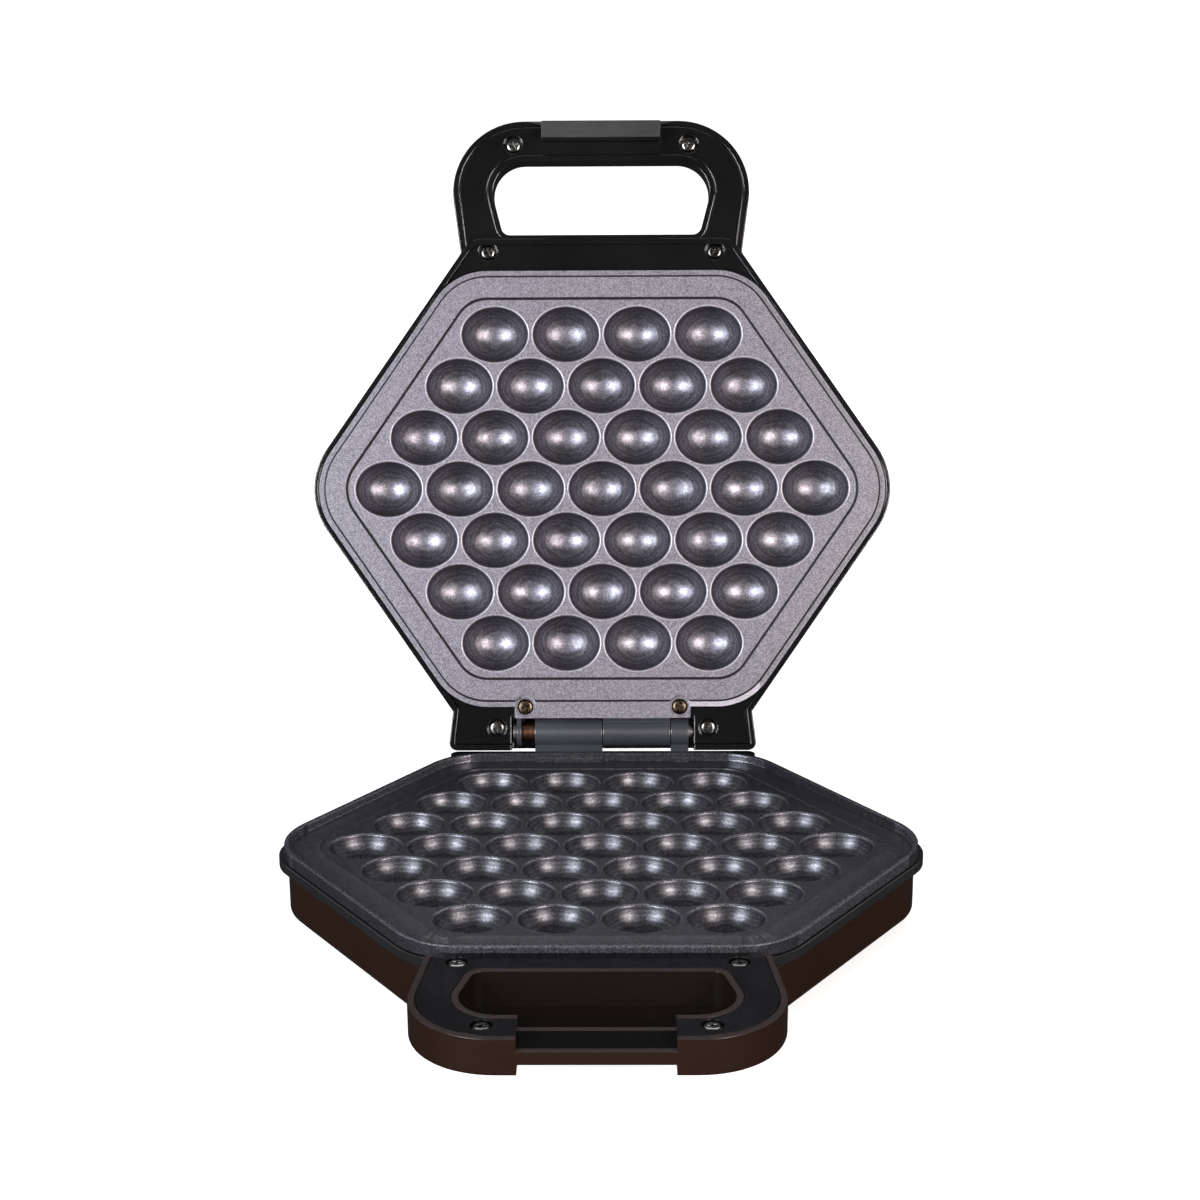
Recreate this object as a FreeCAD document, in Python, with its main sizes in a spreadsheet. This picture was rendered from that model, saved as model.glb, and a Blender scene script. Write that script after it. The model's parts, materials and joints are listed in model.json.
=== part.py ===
import FreeCAD, Part
import math
import os
import re
import Sketcher

# An electric bubble waffle maker: two cast plates in moulded halves that close like a book.
# Every piece is drawn in the plate frame: X to the right, Y back towards the hinge, and Z up
# from the plane in which the closed plates meet. A depth is counted away from that plane,
# down into the base and up into the lid, so one function can draw a form for both halves.
# The lid is drawn closed and then turned about the hinge to the pose in which it stands open.

# Driving dimensions, in millimetres and degrees
SIZES = {
    # cups and their lattice
    "cell_pitch": 30.0,
    "row_pitch": 21.7,
    "cup_half_length": 13.8,
    "cup_half_width": 11.45,
    "cup_depth": 10.5,
    # rounded hexagon that both plates share
    "side_reach": 103.3,
    "flat_reach": 92.1,
    "vertex_radius": 28.0,
    "corner_radius": 26.0,
    "field_inset": 12.5,
    "block_inset": 12.7,
    "cast_wall": 2.4,
    # upper plate
    "ring_gap": 0.3,
    "ring_thickness": 3.0,
    "ring_width": 2.2,
    "band_rise": 1.9,
    "band_slope": 0.8,
    "field_recess": 1.0,
    "field_slope": 1.0,
    "tab_half_width": 37.1,
    "tab_reach": 96.8,
    "lug_offset": 32.6,
    "lug_radius": 4.1,
    "lug_notch_radius": 4.8,
    "lug_ring_depth": 0.4,
    # lower plate
    "lip_margin": 1.2,
    "lip_width": 2.0,
    "lip_height": 4.6,
    "channel_depth": 3.2,
    "channel_width": 4.0,
    "ridge_width": 1.0,
    "ridge_depth": 2.0,
    "web_gap": 2.0,
    "flange_depth": 6.0,
    "flange_inset": 1.2,
    "ear_offset": 44.7,
    "ear_reach": 97.6,
    "ear_radius": 5.0,
    "ear_thickness": 1.8,
    "ear_recess": 0.8,
    # hinge
    "hinge_back": 103.0,
    "hinge_rise": 5.5,
    "open_angle": 106.7,
    "barrel_radius": 6.1,
    "barrel_reach": 28.6,
    "barrel_gap": 0.3,
    "swing_gap": 1.2,
    "knuckle_reach": 36.3,
    "knuckle_width": 2.0,
    "pocket_overlap": 0.7,
    "pin_radius": 2.5,
    "pin_fit": 0.05,
    "pin_head_radius": 4.0,
    "pin_head_width": 1.2,
    "clip_width": 0.9,
    "bush_radius": 4.4,
    "arm_front": 4.5,
    "arm_rear": 1.5,
    "arm_top_depth": 1.5,
    # moulded halves
    "shell_depth": 28.0,
    "shell_wall": 2.4,
    "fit_gap": 0.2,
    "lid_margin": 2.1,
    "lid_rim_depth": 0.6,
    "lid_edge_radius": 7.0,
    "base_inset": 0.1,
    "base_rim_depth": 8.5,
    "base_edge_radius": 3.0,
    "front_reach": 105.6,
    "front_radius": 8.0,
    "lid_rear_reach": 110.5,
    "base_rear_reach": 107.5,
    "rear_half_width": 64.8,
    "rear_neck_half": 63.2,
    "rear_radius": 3.4,
    "bezel_vertex_radius": 22.0,
    "bezel_top_depth": 4.9,
    "block_top_depth": 4.9,
    "frame_thickness": 4.2,
    # handles
    "handle_reach": 155.4,
    "handle_half_width": 62.6,
    "handle_radius": 30.0,
    "handle_depth": 15.6,
    "handle_edge_radius": 1.5,
    "neck_half_width": 59.4,
    "face_depth": 2.3,
    "cover_thickness": 2.4,
    "finger_far": 138.7,
    "finger_near": 107.4,
    "finger_half_width": 45.8,
    "finger_near_half": 42.5,
    "finger_radius": 13.5,
    "finger_near_radius": 4.0,
    # tongue of the lid and saddle of the base
    "tongue_half_width": 24.9,
    "tongue_front": 154.0,
    "tongue_back": 147.0,
    "tongue_drop": 6.0,
    "saddle_half_width": 25.6,
    "saddle_depth": 6.7,
    "saddle_bottom": 11.3,
    "saddle_wall": 2.0,
    # screws
    "far_screw_x": 37.1,
    "far_screw_y": 145.5,
    "near_screw_x": 48.0,
    "near_screw_y": 100.3,
    "rear_screw_x": 44.7,
    "rear_screw_y": 101.0,
    "screw_head_radius": 3.2,
    "screw_head_height": 1.4,
    "screw_shank_radius": 1.4,
    "screw_length": 7.0,
    "pilot_room": 0.5,
    "recess_radius": 3.8,
    "recess_depth": 1.6,
    "boss_radius": 3.4,
    "bottom_screw_x": 30.0,
    "bottom_screw_y": 96.0,
    "bottom_rear_x": 53.0,
    "bottom_rear_y": 100.0,
    "bottom_grip": 3.0,
    # heating parts
    "heater_radius": 3.3,
    "heater_inset": 34.0,
    "heater_bend": 12.0,
    "terminal_offset": 14.0,
    "terminal_radius": 1.6,
    "terminal_length": 12.0,
    "reflector_gap": 0.5,
    "reflector_flange": 2.4,
    "reflector_sheet": 0.8,
    "reflector_depth": 23.6,
    "hole_clearance": 1.4,
    "thermostat_radius": 8.0,
    "thermostat_height": 5.0,
    "thermostat_offset": 24.0,
    "fuse_radius": 2.4,
    "fuse_length": 18.0,
    "fuse_offset": 22.0,
    # power inlet, terminal block and lamps
    "gland_radius": 5.5,
    "gland_bore": 3.4,
    "gland_collar_radius": 7.5,
    "gland_collar": 2.0,
    "gland_inner": 4.0,
    "gland_depth": 18.5,
    "block_half_width": 16.0,
    "block_length": 12.0,
    "block_height": 10.0,
    "block_pitch": 10.0,
    "lamp_offset": 9.0,
    "lamp_reach": 92.0,
    "lamp_radius": 3.5,
    "lamp_collar_radius": 4.8,
    "lamp_proud": 0.8,
    "lamp_body_length": 7.0,
    "lamp_board_half_length": 17.0,
    "lamp_board_half_width": 5.6,
    "lamp_board_thickness": 1.6,
    # feet
    "foot_height": 4.0,
    "foot_radius": 8.0,
    "foot_edge_radius": 1.5,
    "foot_x": 50.0,
    "foot_y": 82.0,
    "foot_plug_radius": 2.2,
    # allowance by which every cut passes the face it opens
    "overrun": 1.0,
}

# Places and sizes that follow from the driving dimensions
FOLLOWING = {
    "side_angle": "atan(row_pitch / (cell_pitch / 2))",
    "vertex_centre": "(side_reach - vertex_radius) / sin(side_angle)",
    "bezel_vertex_centre": "(side_reach - bezel_vertex_radius) / sin(side_angle)",
    "corner_centre_y": "flat_reach - corner_radius",
    "corner_side_reach": "side_reach - corner_radius",
    "corner_centre_x": "(corner_side_reach - corner_centre_y * cos(side_angle)) / sin(side_angle)",
    "ring_back": "ring_gap + ring_thickness",
    "band_face": "ring_gap - band_rise",
    "upper_field": "band_face + field_recess",
    "upper_back": "upper_field + cup_depth + cast_wall",
    "lower_field": "web_gap - upper_field",
    "lower_back": "lower_field + cup_depth + cast_wall",
    "hole_inset": "block_inset - hole_clearance",
    "rim_inset": "shell_wall + fit_gap",
    "pocket_front": "tab_reach - pocket_overlap",
    "pocket_half_width": "knuckle_reach + pin_head_width + clip_width + fit_gap",
    "pocket_top": "hinge_rise + barrel_radius + swing_gap",
    "clip_start": "knuckle_reach + pin_fit",
    "contact_height": "shell_depth + foot_height",
    "lid_length": "hinge_back + handle_reach",
    "lid_lean": "-lid_length * cos(open_angle) + (handle_depth - hinge_rise) * sin(open_angle)",
    "middle": "(handle_reach - hinge_back - lid_lean) / 2",
}

# Numbers of equal things, and shares that shape a form
ROW_COUNTS = (4, 5, 6, 7, 6, 5, 4)
CUP_SIDES = 14
CUP_DEPTH_SHARES = (0.0, 0.42, 0.78, 1.0)
CUP_FLOOR_SHARE = 0.3

LID = 1
BASE = -1

ALIASES = set(SIZES) | set(FOLLOWING)

doc = FreeCAD.newDocument("waffle_maker")
sheet = doc.addObject("Spreadsheet::Sheet", "sizes")
for line, (alias, amount) in enumerate(list(SIZES.items()) + list(FOLLOWING.items()), start=1):
    sheet.set(f"A{line}", alias)
    sheet.set(f"B{line}", str(amount) if alias in SIZES else "=" + amount)
    sheet.setAlias(f"B{line}", alias)
doc.recompute()


def linked(expression):
    """The expression with each size named as a cell of the sheet."""
    return re.sub(
        r"[a-z_]+",
        lambda word: "sizes." + word.group() if word.group() in ALIASES else word.group(),
        expression,
    )


def number(expression):
    """The expression's value now."""
    result = sheet.evalExpression(expression)
    return float(getattr(result, "Value", result))


def bind(item, name, expression):
    """Tie a property of an object to the sheet."""
    item.setExpression(name, linked(expression))


def span(side, near, far):
    """Low and high ends along Z of a stretch between two depths in one half."""
    if side == LID:
        return near, far
    return f"-({far})", f"-({near})"


def new_body(label, groups=False):
    """A body for one sub-part; groups is for a set of separate equal pieces."""
    body = doc.addObject("PartDesign::Body", label)
    body.Label = label
    body.AllowCompound = groups
    return body


def origin_part(body, role):
    return next(item for item in body.Origin.OriginFeatures if item.Role == role)


# Outlines: a loop is a list of corners (x, y, radius), counter-clockwise. A corner with a
# radius gives the centre of its arc, and one without is a sharp point.

def mirrored(half):
    """A loop symmetric about the Y axis from its right half, front to rear."""
    left = [(f"-({x})", y, radius) for x, y, radius in reversed(half)]
    return half + left


def rectangle(left, right, front, rear):
    return [(left, front, "0"), (right, front, "0"), (right, rear, "0"), (left, rear, "0")]


def circle(x, y, radius):
    return [(x, y, radius)]


def pair(x, y, radius):
    """Two circles, one each side."""
    return [circle(x, y, radius), circle(f"-({x})", y, radius)]


def hexagon(outset, vertex_radius="vertex_radius", vertex_centre="vertex_centre"):
    """The plates' rounded hexagon, made larger all round by the outset."""
    corner = f"corner_radius + {outset}"
    return mirrored([
        ("corner_centre_x", "-corner_centre_y", corner),
        (vertex_centre, "0", f"{vertex_radius} + {outset}"),
        ("corner_centre_x", "corner_centre_y", corner),
    ])


def on_side(half_width, margin):
    """The Y at which the sloping side, moved out by a margin, is this far from the middle."""
    return f"(side_reach + {margin} - ({half_width}) * sin(side_angle)) / cos(side_angle)"


def rear_block(margin, inset, reach):
    """Corners of the block at the hinge, right half, which ends this far back."""
    neck = f"rear_neck_half - {inset}"
    return [
        (neck, on_side(neck, f"{margin} - {inset}"), "0"),
        ("rear_half_width - rear_radius", f"{reach} - rear_radius", f"rear_radius - {inset}"),
    ]


def hull(margin, inset, reach):
    """Outline of a moulded half without its handle."""
    centre_y = "(front_reach - front_radius)"
    centre_x = f"(side_reach + {margin} - front_radius - {centre_y} * cos(side_angle)) / sin(side_angle)"
    return mirrored([
        (centre_x, f"-{centre_y}", f"front_radius - {inset}"),
        ("vertex_centre", "0", f"vertex_radius + {margin} - {inset}"),
    ] + rear_block(margin, inset, reach))


def handle(margin, inset):
    """Outline of a handle, as far back as the sloping sides."""
    neck = f"neck_half_width - {inset}"
    return mirrored([
        ("handle_half_width - handle_radius", "-(handle_reach - handle_radius)",
         f"handle_radius - {inset}"),
        (neck, f"-({on_side(neck, f'{margin} - {inset}')})", "0"),
    ])


def finger_hole(outset):
    return mirrored([
        ("finger_half_width - finger_radius", "-(finger_far - finger_radius)", f"finger_radius + {outset}"),
        ("finger_near_half - finger_near_radius", "-(finger_near + finger_near_radius)",
         f"finger_near_radius + {outset}"),
    ])


def tangent_normal(here, there):
    """Direction from each centre to the line that touches two arcs on their right."""
    across = there[0] - here[0]
    along = there[1] - here[1]
    turn = math.acos((there[2] - here[2]) / math.hypot(across, along))
    angle = math.atan2(along, across) + turn
    return math.cos(angle), math.sin(angle)


def fix_point(sketch, item, position, x, y):
    """Dimension one point of a sketch from its origin."""
    for kind, place in (("DistanceX", x), ("DistanceY", y)):
        index = sketch.addConstraint(Sketcher.Constraint(kind, -1, 1, item, position, number(place)))
        bind(sketch, f"Constraints[{index}]", place)


def fix_radius(sketch, item, radius):
    index = sketch.addConstraint(Sketcher.Constraint("Radius", item, number(radius)))
    bind(sketch, f"Constraints[{index}]", radius)


def draw_circle(sketch, corner):
    x, y, radius = corner
    centre = FreeCAD.Vector(number(x), number(y), 0)
    item = sketch.addGeometry(Part.Circle(centre, FreeCAD.Vector(0, 0, 1), number(radius)), False)
    fix_point(sketch, item, 3, x, y)
    fix_radius(sketch, item, radius)


def draw_loop(sketch, loop):
    """Draw a closed outline of lines and tangent arcs, fully dimensioned."""
    places = [(number(x), number(y), number(radius)) for x, y, radius in loop]
    count = len(loop)
    normals = [tangent_normal(places[i], places[(i + 1) % count]) for i in range(count)]
    arcs = {}
    lines = []
    for i, (x, y, radius) in enumerate(places):
        if radius > 0:
            start = math.atan2(-normals[i - 1][1], -normals[i - 1][0])
            end = math.atan2(-normals[i][1], -normals[i][0])
            round_part = Part.Circle(FreeCAD.Vector(x, y, 0), FreeCAD.Vector(0, 0, 1), radius)
            arcs[i] = sketch.addGeometry(Part.ArcOfCircle(round_part, start, end), False)
    for i, (here, normal) in enumerate(zip(places, normals)):
        there = places[(i + 1) % count]
        start = FreeCAD.Vector(here[0] - normal[0] * here[2], here[1] - normal[1] * here[2], 0)
        end = FreeCAD.Vector(there[0] - normal[0] * there[2], there[1] - normal[1] * there[2], 0)
        lines.append(sketch.addGeometry(Part.LineSegment(start, end), False))
    for i, (x, y, radius) in enumerate(loop):
        if i in arcs:
            sketch.addConstraint(Sketcher.Constraint("Tangent", lines[i - 1], 2, arcs[i], 1))
            sketch.addConstraint(Sketcher.Constraint("Tangent", arcs[i], 2, lines[i], 1))
            fix_point(sketch, arcs[i], 3, x, y)
            fix_radius(sketch, arcs[i], radius)
        else:
            sketch.addConstraint(Sketcher.Constraint("Coincident", lines[i - 1], 2, lines[i], 1))
            fix_point(sketch, lines[i], 1, x, y)


def new_sketch(body, name, loops, level, role="XY_Plane"):
    """A sketch of one or more loops, raised to a level above the body's own plane."""
    sketch = body.newObject("Sketcher::SketchObject", f"{body.Label}_{name}_sketch")
    sketch.AttachmentSupport = [(origin_part(body, role), "")]
    sketch.MapMode = "FlatFace"
    bind(sketch, "AttachmentOffset.Base.z", level)
    for loop in loops:
        if len(loop) == 1:
            draw_circle(sketch, loop[0])
        else:
            draw_loop(sketch, loop)
    return sketch


def pad(body, name, loops, low, high, role="XY_Plane"):
    """Add the loops as a solid from one level up to another."""
    feature = body.newObject("PartDesign::Pad", f"{body.Label}_{name}")
    feature.Profile = new_sketch(body, name, loops, low, role)
    bind(feature, "Length", f"{high} - ({low})")
    return finish(body, feature)


def pocket(body, name, loops, low, high, role="XY_Plane"):
    """Cut the loops out of the body between two levels."""
    before = body.Tip.Shape.Volume
    feature = body.newObject("PartDesign::Pocket", f"{body.Label}_{name}")
    feature.Profile = new_sketch(body, name, loops, high, role)
    bind(feature, "Length", f"{high} - ({low})")
    finish(body, feature)
    if feature.Shape.Volume >= before:
        raise RuntimeError(f"{feature.Name} cuts nothing")
    return feature


def loft(body, name, kind, start, start_level, end, end_level):
    """Add or cut a form with sloping sides between two outlines."""
    before = body.Tip.Shape.Volume
    feature = body.newObject(f"PartDesign::{kind}Loft", f"{body.Label}_{name}")
    feature.Profile = new_sketch(body, f"{name}_start", [start], start_level)
    feature.Sections = [new_sketch(body, f"{name}_end", [end], end_level)]
    feature.Ruled = True
    finish(body, feature)
    if (feature.Shape.Volume > before) != (kind == "Additive"):
        raise RuntimeError(f"{feature.Name} changes nothing")
    return feature


def finish(body, feature):
    body.Tip = feature
    doc.recompute()
    if feature.Shape.isNull():
        raise RuntimeError(f"{feature.Name} has no shape: {feature.State}")
    return feature


def round_level(body, name, level, radius):
    """Round every edge that lies at one level."""
    height = number(level)
    base = body.Tip
    edges = []
    for index, edge in enumerate(base.Shape.Edges, start=1):
        box = edge.BoundBox
        if max(abs(box.ZMin - height), abs(box.ZMax - height)) < Part.Precision.confusion() * 10:
            edges.append(f"Edge{index}")
    feature = body.newObject("PartDesign::Fillet", f"{body.Label}_{name}")
    feature.Base = (base, edges)
    bind(feature, "Radius", radius)
    return finish(body, feature)


# Forms that both halves share

def add_handle(body, side, margin):
    """The handle's outer block, with its edge rounded."""
    low, high = span(side, "face_depth", "handle_depth")
    pad(body, "handle", [handle(margin, "0")], low, high)
    round_level(body, "handle_edge", low if side == BASE else high, "handle_edge_radius")


def add_bosses(body, name, circles, side, near, far):
    """Pillars that take the screws."""
    low, high = span(side, near, far)
    pad(body, name, circles, low, high)


def screw_holes(body, name, circles, side, near, far):
    low, high = span(side, near, far)
    pocket(body, name, circles, low, high)


def make_shell(label, side, margin, reach, rim, edge_radius):
    """One moulded half: a hexagonal tray with a hollow handle."""
    body = new_body(label)
    add_handle(body, side, margin)
    low, high = span(side, rim, "shell_depth")
    pad(body, "hull", [hull(margin, "0", reach)], low, high)
    round_level(body, "hull_edge", low if side == BASE else high, edge_radius)
    low, high = span(side, f"{rim} - overrun", "shell_depth - shell_wall")
    pocket(body, "hollow", [hull(margin, "shell_wall", reach)], low, high)
    round_level(body, "hollow_edge", low if side == BASE else high, f"{edge_radius} - shell_wall")
    low, high = span(side, "face_depth - overrun", "handle_depth - shell_wall")
    pocket(body, "channel", [handle(margin, "shell_wall"), finger_hole("shell_wall")], low, high)
    low, high = span(side, "face_depth - overrun", "handle_depth + overrun")
    pocket(body, "finger_hole", [finger_hole("0")], low, high)
    far = pair("far_screw_x", "-far_screw_y", "boss_radius")
    add_bosses(body, "far_bosses", far, side, "face_depth + cover_thickness", "handle_depth - shell_wall")
    return body


def make_screws(label, circles_of, side, top):
    """A set of screws whose heads start at a depth below the parting plane."""
    body = new_body(label, groups=True)
    low, high = span(side, top, f"{top} + screw_head_height")
    pad(body, "heads", circles_of("screw_head_radius"), low, high)
    low, high = span(side, f"{top} + screw_head_height", f"{top} + screw_head_height + screw_length")
    pad(body, "shanks", circles_of("screw_shank_radius"), low, high)
    return body


def make_bottom_screws():
    """Long screws driven up through the pillars of the base into its frame."""
    body = new_body("bottom_screws", groups=True)
    top = "-(shell_depth - recess_depth)"
    pad(body, "heads", bottom_places("screw_head_radius"), f"{top} - screw_head_height", top)
    pad(body, "shanks", bottom_places("screw_shank_radius"), top, "-(base_rim_depth - bottom_grip)")
    return body


def handle_places(radius):
    near = pair("near_screw_x", "-near_screw_y", radius)
    return pair("far_screw_x", "-far_screw_y", radius) + near


def rear_places(radius):
    return pair("rear_screw_x", "rear_screw_y", radius)


def lug_places(radius):
    return pair("lug_offset", "flat_reach", radius)


def ear_places(radius):
    return pair("ear_offset", "ear_reach", radius)


def ear_strips(half_width):
    """Two strips that join the ears to the plate."""
    return [rectangle(f"{x} - ({half_width})", f"{x} + {half_width}", "corner_centre_y", "ear_reach")
            for x in ("-ear_offset", "ear_offset")]


def bottom_places(radius):
    front = pair("bottom_screw_x", "-bottom_screw_y", radius)
    return front + pair("bottom_rear_x", "bottom_rear_y", radius)


def foot_places(radius):
    return pair("foot_x", "foot_y", radius) + pair("foot_x", "-foot_y", radius)


# Moulded halves

def make_base_shell():
    """Bottom tray with the power inlet, screw pillars and the saddle in its handle."""
    body = make_shell("base_shell", BASE, "-base_inset", "base_rear_reach",
                      "base_rim_depth", "base_edge_radius")
    bar = rectangle("-(saddle_half_width + shell_wall)", "saddle_half_width + shell_wall",
                    "-(handle_reach - shell_wall / 2)", "-(finger_far + shell_wall / 2)")
    pad(body, "saddle_bar", [bar], "-(handle_depth - shell_wall / 2)", "-(saddle_bottom - shell_wall)")
    gap = rectangle("-saddle_half_width", "saddle_half_width",
                    "-(handle_reach + overrun)", "-(finger_far - overrun)")
    pocket(body, "saddle", [gap], "-saddle_depth", "overrun")
    pocket(body, "saddle_relief", [gap], "-(handle_depth + overrun)", "-saddle_bottom")
    add_bosses(body, "near_bosses", pair("near_screw_x", "-near_screw_y", "boss_radius"),
               BASE, "base_rim_depth", "shell_depth - shell_wall")
    add_bosses(body, "bottom_bosses", bottom_places("boss_radius"),
               BASE, "base_rim_depth", "shell_depth - shell_wall")
    add_bosses(body, "ear_bosses", ear_places("boss_radius"),
               BASE, "base_rim_depth", "shell_depth - shell_wall")
    screw_holes(body, "pilots", handle_places("screw_shank_radius"),
                BASE, "face_depth", "face_depth + recess_depth + screw_length + pilot_room")
    screw_holes(body, "ear_pilots", ear_places("screw_shank_radius"), BASE, "base_rim_depth - overrun",
                "flange_depth - ear_thickness + ear_recess + screw_length + pilot_room")
    heads = bottom_places("recess_radius")
    screw_holes(body, "bottom_recesses", heads,
                BASE, "shell_depth - recess_depth", "shell_depth + overrun")
    screw_holes(body, "bottom_holes", bottom_places("screw_shank_radius"),
                BASE, "base_rim_depth - overrun", "shell_depth")
    foot_holes = foot_places("foot_plug_radius")
    screw_holes(body, "foot_holes", foot_holes,
                BASE, "shell_depth - shell_wall - overrun", "shell_depth + overrun")
    inlet = [circle("0", "-gland_depth", "gland_radius")]
    pocket(body, "inlet", inlet,
           "-(base_rear_reach + overrun)", "-(base_rear_reach - shell_wall - overrun)", "XZ_Plane")
    return body


def make_lid_shell():
    """Top cover with the hinge housing, the lamp holes and the tongue at its handle."""
    body = make_shell("lid_shell", LID, "lid_margin", "lid_rear_reach", "lid_rim_depth", "lid_edge_radius")
    tongue = rectangle("-tongue_half_width", "tongue_half_width", "-tongue_front", "-tongue_back")
    pad(body, "tongue", [tongue], "-tongue_drop", "handle_depth - handle_edge_radius")
    frame_back = "face_depth + frame_thickness"
    housing = rectangle("-(pocket_half_width + shell_wall)", "pocket_half_width + shell_wall",
                        "pocket_front - shell_wall", "lid_rear_reach - shell_wall / 2")
    pad(body, "hinge_housing", [housing], frame_back, "pocket_top + shell_wall")
    room = rectangle("-pocket_half_width", "pocket_half_width", "pocket_front", "lid_rear_reach + overrun")
    pocket(body, "hinge_room", [room], "-overrun", "pocket_top")
    pocket(body, "plate_seat", [hexagon("fit_gap * 2")], "-overrun", "ring_back")
    inner = "shell_depth - shell_wall"
    add_bosses(body, "near_bosses", pair("near_screw_x", "-near_screw_y", "boss_radius"),
               LID, frame_back, inner)
    add_bosses(body, "rear_bosses", rear_places("boss_radius"), LID, frame_back, inner)
    add_bosses(body, "lug_bosses", lug_places("boss_radius"), LID, frame_back, inner)
    screw_holes(body, "pilots", handle_places("screw_shank_radius") + rear_places("screw_shank_radius"),
                LID, "face_depth", "face_depth + recess_depth + screw_length + pilot_room")
    screw_holes(body, "lug_pilots", lug_places("screw_shank_radius"),
                LID, "ring_back", "ring_back + screw_length")
    lamps = pair("lamp_offset", "-lamp_reach", "lamp_radius")
    screw_holes(body, "lamp_holes", lamps,
                LID, "shell_depth - shell_wall - overrun", "shell_depth + overrun")
    return body


# Inner frames with the handle covers

def add_cover(body, side, margin):
    """The flat cover that closes a handle."""
    low, high = span(side, "face_depth", "face_depth + cover_thickness")
    pad(body, "cover", [handle(margin, "rim_inset"), finger_hole("rim_inset")], low, high)


def make_lid_frame():
    """Inner frame of the lid: handle cover, seat of the plate and rear cover."""
    body = new_body("lid_frame")
    add_cover(body, LID, "lid_margin")
    front = "front_reach - rim_inset"
    root = rectangle("-(neck_half_width - rim_inset * 2)", "neck_half_width - rim_inset * 2",
                     f"-({front})", "-corner_centre_y")
    back = "face_depth + frame_thickness"
    pad(body, "root", [root], "face_depth", back)
    pad(body, "seat", [hull("lid_margin", "rim_inset", "lid_rear_reach")], "face_depth", back)
    pocket(body, "plate_seat", [hexagon("fit_gap * 2")], "face_depth - overrun", "ring_back")
    tab = rectangle("-(tab_half_width + fit_gap)", "tab_half_width + fit_gap",
                    "corner_centre_y", "tab_reach + fit_gap")
    pocket(body, "tab_seat", [tab], "face_depth - overrun", "ring_back")
    pocket(body, "plate_hole", [hexagon("-hole_inset")], "face_depth", f"{back} + overrun")
    room = rectangle("-pocket_half_width", "pocket_half_width", "pocket_front", "lid_rear_reach + overrun")
    pocket(body, "hinge_room", [room], "face_depth - overrun", f"{back} + overrun")
    tongue = rectangle("-(tongue_half_width + fit_gap)", "tongue_half_width + fit_gap",
                       "-(handle_reach + overrun)", "-(tongue_back - fit_gap)")
    pocket(body, "tongue_gap", [tongue], "face_depth - overrun", "face_depth + cover_thickness + overrun")
    places = handle_places("recess_radius") + rear_places("recess_radius")
    screw_holes(body, "recesses", places, LID, "face_depth - overrun", "face_depth + recess_depth")
    places = handle_places("screw_shank_radius") + rear_places("screw_shank_radius")
    screw_holes(body, "holes", places, LID, "face_depth", f"{back} + overrun")
    screw_holes(body, "lug_holes", lug_places("screw_shank_radius"),
                LID, "face_depth", f"{back} + overrun")
    return body


def make_base_frame():
    """Inner frame of the base: bezel under the plate, handle cover and hinge well."""
    body = new_body("base_frame")
    add_cover(body, BASE, "-base_inset")
    saddle = rectangle("-(saddle_half_width + saddle_wall)", "saddle_half_width + saddle_wall",
                       "-(handle_reach - rim_inset)", "-(finger_far + rim_inset)")
    pad(body, "saddle", [saddle], "-(saddle_depth + saddle_wall)", "-face_depth")
    notch = rectangle("-saddle_half_width", "saddle_half_width",
                      "-(handle_reach + overrun)", "-(finger_far - overrun)")
    pocket(body, "saddle_notch", [notch], "-saddle_depth", "overrun")
    root = rectangle("-(neck_half_width - rim_inset * 2)", "neck_half_width - rim_inset * 2",
                     "-(front_reach - rim_inset)", "-corner_centre_y")
    pad(body, "root", [root], "-base_rim_depth", "-face_depth")
    bezel = hexagon("lid_margin", "bezel_vertex_radius", "bezel_vertex_centre")
    pad(body, "bezel", [bezel], "-base_rim_depth", "-bezel_top_depth")
    corners = rear_block("lid_margin", "0", "base_rear_reach")[1:]
    block = mirrored([("rear_neck_half", "corner_centre_y", "0")] + corners)
    pad(body, "rear_block", [block], "-base_rim_depth", "-block_top_depth")
    pocket(body, "lip_seat", [hexagon("lip_margin + fit_gap")], "-bezel_top_depth", "overrun")
    pocket(body, "plate_seat", [hexagon("fit_gap - flange_inset")], "-flange_depth", "overrun")
    pocket(body, "plate_hole", [hexagon("-hole_inset")], "-(base_rim_depth + overrun)", "overrun")
    well = rectangle("-pocket_half_width", "pocket_half_width",
                     "flat_reach - ring_width", "hinge_back + arm_rear + overrun")
    pocket(body, "hinge_well", [well], "-(base_rim_depth + overrun)", "overrun")
    ears = ear_places("ear_radius + fit_gap")
    screw_holes(body, "ear_seats", ears, BASE, "-overrun", "flange_depth")
    screw_holes(body, "ear_slots", ear_strips("ear_radius + fit_gap"), BASE, "-overrun", "flange_depth")
    screw_holes(body, "ear_holes", ear_places("screw_shank_radius"),
                BASE, "flange_depth - overrun", "base_rim_depth + overrun")
    screw_holes(body, "recesses", handle_places("recess_radius"),
                BASE, "face_depth - overrun", "face_depth + recess_depth")
    screw_holes(body, "holes", handle_places("screw_shank_radius"),
                BASE, "face_depth", "base_rim_depth + overrun")
    places = bottom_places("screw_shank_radius")
    screw_holes(body, "bottom_holes", places,
                BASE, "base_rim_depth - bottom_grip", "base_rim_depth + overrun")
    return body


# Cast plates

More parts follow.
